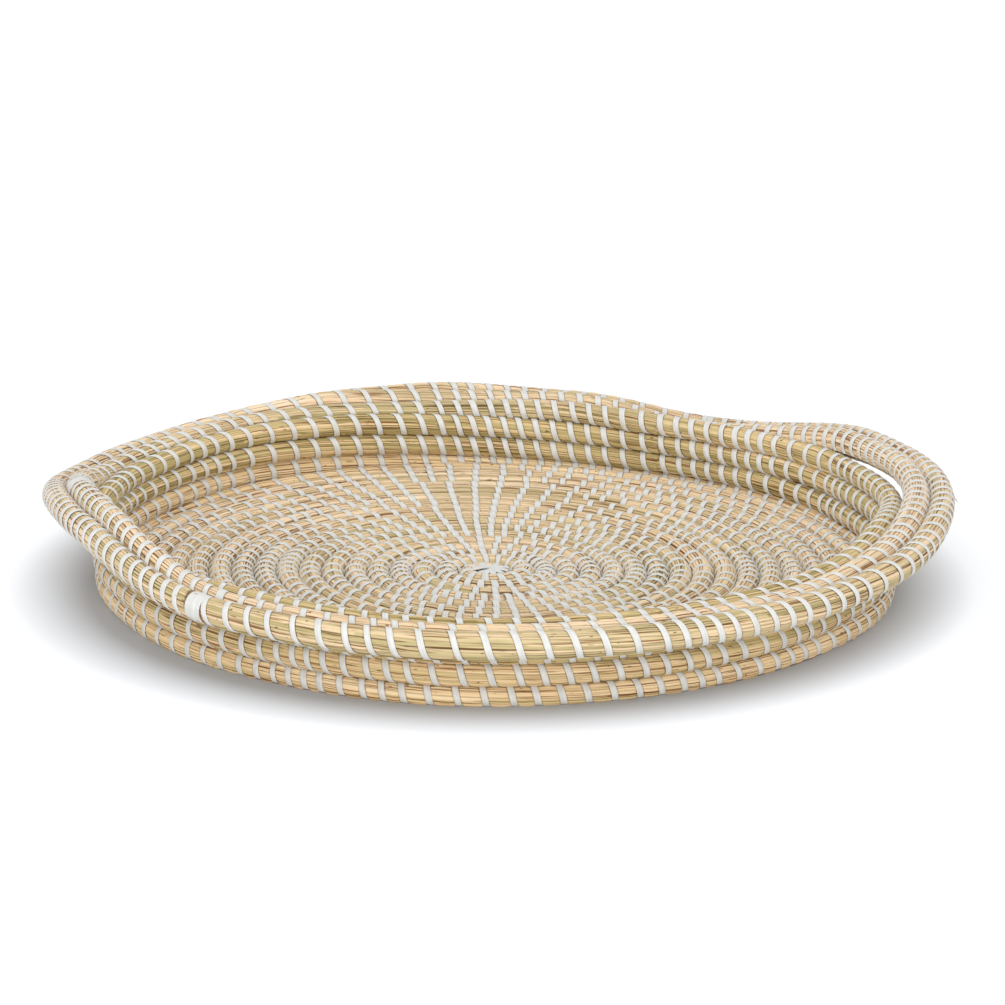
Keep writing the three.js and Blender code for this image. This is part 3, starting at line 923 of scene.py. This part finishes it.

# The floor: its colour for light that bounces and as it shows, and the glow that makes it white in the
# picture, which fades in over a distance from the centre of the base. Besides the tray's cast shadow, this
# leaves the floor near the tray darker than the lamps make it: painted shade round the foot, which the shown
# colour, a darker, bluish grey than the bounce colour, deepens and cools.
FLOOR_SIZE, FLOOR_BOUNCE, FLOOR_SHOWN = 16, grey(0.72), (0.55, 0.575, 0.615, 1)
GLOW_FROM, GLOW_TO, FULL_GLOW = 0.2, 0.242, 0.5


def spot_at(right, back, up):
    return MIDDLE + RIGHT * right + BACK * back + UP * up


def add_to_scene(name, data, spot, target):
    """An object at a spot that looks at a target."""
    obj = bpy.data.objects.new(name, data)
    bpy.context.scene.collection.objects.link(obj)
    obj.location = spot
    obj.rotation_euler = (target - spot).to_track_quat("-Z", "Y").to_euler()
    return obj


def make_camera():
    """A camera that shows the centre of the base at its pixel of the photograph."""
    lift = math.radians(VIEW_ELEVATION)
    spot = spot_at(0, -VIEW_DISTANCE * math.cos(lift), VIEW_DISTANCE * math.sin(lift))
    view = (MIDDLE - spot).normalized()
    above = RIGHT.cross(view)
    aside = (PHOTO_SIZE / 2 - CENTRE_PIXEL[0]) / FOCAL_PIXELS * VIEW_DISTANCE
    over = (CENTRE_PIXEL[1] - PHOTO_SIZE / 2) / FOCAL_PIXELS * VIEW_DISTANCE
    target = MIDDLE + RIGHT * aside + above * over
    data = bpy.data.cameras.new("camera")
    data.sensor_width = SENSOR_WIDTH
    data.lens = FOCAL_PIXELS / PHOTO_SIZE * data.sensor_width
    data.clip_end = CLIP_END
    bpy.context.scene.camera = add_to_scene("camera", data, spot, target)


def softbox(name, spot, target, size, watts):
    data = bpy.data.lights.new(name, "AREA")
    data.shape = "RECTANGLE"
    data.size, data.size_y = size
    data.energy = watts
    add_to_scene(name, data, spot, target)


def shown_rays(tree):
    """One for rays that show the background: straight, mirrored or through glass."""
    path = tree.nodes.new("ShaderNodeLightPath")
    total = path.outputs["Is Camera Ray"]
    for name in ("Is Glossy Ray", "Is Transmission Ray"):
        node = tree.nodes.new("ShaderNodeMath")
        node.operation = "MAXIMUM"
        tree.links.new(total, node.inputs[0])
        tree.links.new(path.outputs[name], node.inputs[1])
        total = node.outputs[0]
    return total


def make_world():
    """Even light from all round, which shows as white."""
    world = bpy.data.worlds.new("studio")
    bpy.context.scene.world = world
    world.use_nodes = True
    tree = world.node_tree
    background = tree.nodes["Background"]
    background.inputs["Color"].default_value = grey(1)
    level = tree.nodes.new("ShaderNodeMapRange")
    level.inputs["To Min"].default_value = WORLD_LEVEL
    level.inputs["To Max"].default_value = 1.0
    tree.links.new(shown_rays(tree), level.inputs["Value"])
    tree.links.new(level.outputs[0], background.inputs["Strength"])


def floor_material():
    n = Nodes("floor")
    shows = shown_rays(n.tree)
    n.link(n.mix("MIX", shows, FLOOR_BOUNCE, FLOOR_SHOWN), n.shader.inputs["Base Color"])
    n.shader.inputs["Roughness"].default_value = 1.0
    n.shader.inputs["Specular IOR Level"].default_value = 0.0
    n.shader.inputs["Emission Color"].default_value = grey(1)
    # The glow for shown rays fades in away from the tray, leaving painted shade round its foot
    away = n.add("ShaderNodeVectorMath", operation="LENGTH")
    n.link(n.add("ShaderNodeTexCoord").outputs["Object"], away.inputs[0])
    glow = n.add("ShaderNodeMapRange")
    glow.inputs["From Min"].default_value = GLOW_FROM
    glow.inputs["From Max"].default_value = GLOW_TO
    glow.inputs["To Min"].default_value = 0.0
    glow.inputs["To Max"].default_value = FULL_GLOW
    n.link(away.outputs["Value"], glow.inputs["Value"])
    n.link(n.maths("MULTIPLY", shows, glow.outputs[0]), n.shader.inputs["Emission Strength"])
    return n.material


def make_floor():
    mesh = bpy.data.meshes.new("floor")
    half = FLOOR_SIZE / 2
    corners = [(-half, -half, 0), (half, -half, 0), (half, half, 0), (-half, half, 0)]
    mesh.from_pydata(corners, [], [(0, 1, 2, 3)])
    mesh.materials.append(floor_material())
    floor = bpy.data.objects.new("floor", mesh)
    floor.location = MIDDLE
    bpy.context.scene.collection.objects.link(floor)


make_camera()
softbox("overhead", spot_at(*OVERHEAD_SPOT), MIDDLE, OVERHEAD_SIZE, OVERHEAD_POWER)
softbox("front", spot_at(*FRONT_SPOT), spot_at(*FRONT_TARGET), FRONT_SIZE, FRONT_POWER)
make_world()
make_floor()
bpy.context.scene.view_settings.view_transform = "Standard"
